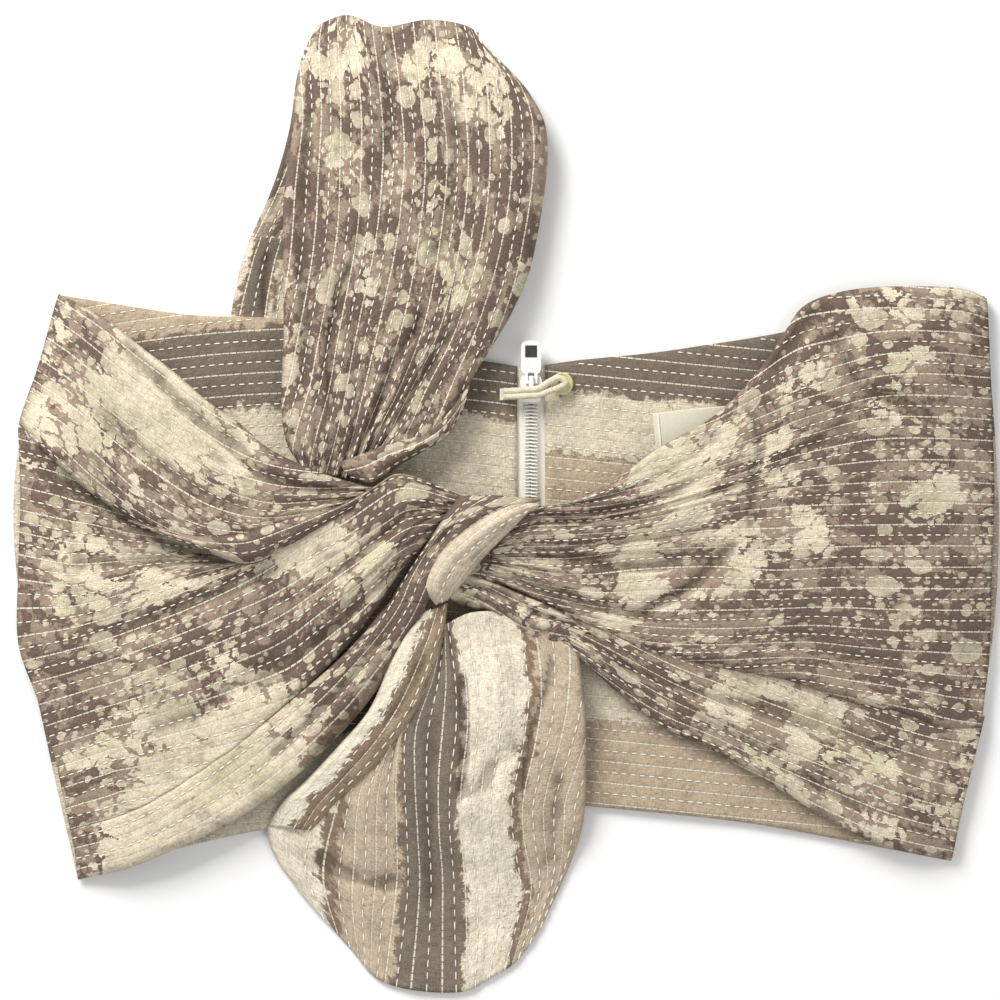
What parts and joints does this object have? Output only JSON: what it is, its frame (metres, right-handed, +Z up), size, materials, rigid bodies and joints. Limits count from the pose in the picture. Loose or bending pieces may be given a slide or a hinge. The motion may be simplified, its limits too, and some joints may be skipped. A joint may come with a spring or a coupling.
{
  "type": "twist-front one-shoulder cropped top",
  "caption": "Sleeveless cropped top laid flat: twisted knot and draped tail at the front, one broad shoulder strap, back zip with slider, pull tab, button and loop.",
  "frame": {"origin": "on the table under the middle of the whole lay", "axes": "+X across the body to the right of the view, +Y from hem to shoulder, +Z up from the table through the front cloth"},
  "size_m": [0.416, 0.4113, 0.031],
  "materials": {
    "camo_cotton": "printed cotton, splattered camouflage, rows of running stitch",
    "banded_cotton": "reverse of the quilted cotton, broad grey, ivory and tan bands",
    "cream_cotton": "cream cotton, plain weave",
    "zip_tape": "white woven polyester tape",
    "zip_coil": "white moulded nylon coil",
    "white_enamel": "white enamelled die-cast metal",
    "black_inlay": "black inlay",
    "button_plastic": "yellow-green polyester button",
    "sewing_thread": "cream sewing thread",
    "label_satin": "blank ivory woven label"
  },
  "bodies": {
    "garment": {"back_left_outer": "camo_cotton", "back_left_lining": "banded_cotton", "back_right_outer": "camo_cotton", "back_right_lining": "banded_cotton", "zip_tape_left": "zip_tape", "zip_tape_right": "zip_tape", "zip_coil_left": "zip_coil", "zip_coil_right": "zip_coil", "zip_top_stop_left": "white_enamel", "zip_top_stop_right": "white_enamel", "zip_bottom_stop": "white_enamel", "button": "button_plastic", "button_thread": "sewing_thread", "loop_bar_tack": "sewing_thread", "neck_label": "label_satin", "label_stitch_left": "sewing_thread", "label_stitch_right": "sewing_thread", "knot_core": "camo_cotton", "knot_wrap": "camo_cotton", "knot_lip": "cream_cotton", "knot_pleats": "camo_cotton", "left_front_panel": "camo_cotton", "left_sash": "camo_cotton", "right_front_panel": "camo_cotton", "right_hem_fold": "camo_cotton", "front_tail": "banded_cotton", "tail_folded_strip": "banded_cotton", "strap_front": "camo_cotton", "strap_back": "camo_cotton", "strap_end": "banded_cotton"},
    "slider": {"slider_body": "white_enamel", "slider_bridge": "white_enamel"},
    "pull": {"pull_tab": "white_enamel", "pull_tab_inlay": "black_inlay"},
    "loop": {"button_loop": "cream_cotton"}
  },
  "joints": [
    {"name": "zip_slide", "type": "slide", "parent": "garment", "child": "slider", "axis": [0, -1, 0], "range_m": [0, 0.044]},
    {"name": "pull_tab_hinge", "type": "hinge", "parent": "slider", "child": "pull", "pos_m": [0.01, 0.0517, 0.0064], "axis": [1, 0, 0], "range_deg": [0, 90]},
    {"name": "loop_lift", "type": "hinge", "parent": "garment", "child": "loop", "pos_m": [-0.0016, 0.04665, 0.0052], "axis": [0, -1, 0], "range_deg": [0, 110]}
  ]
}
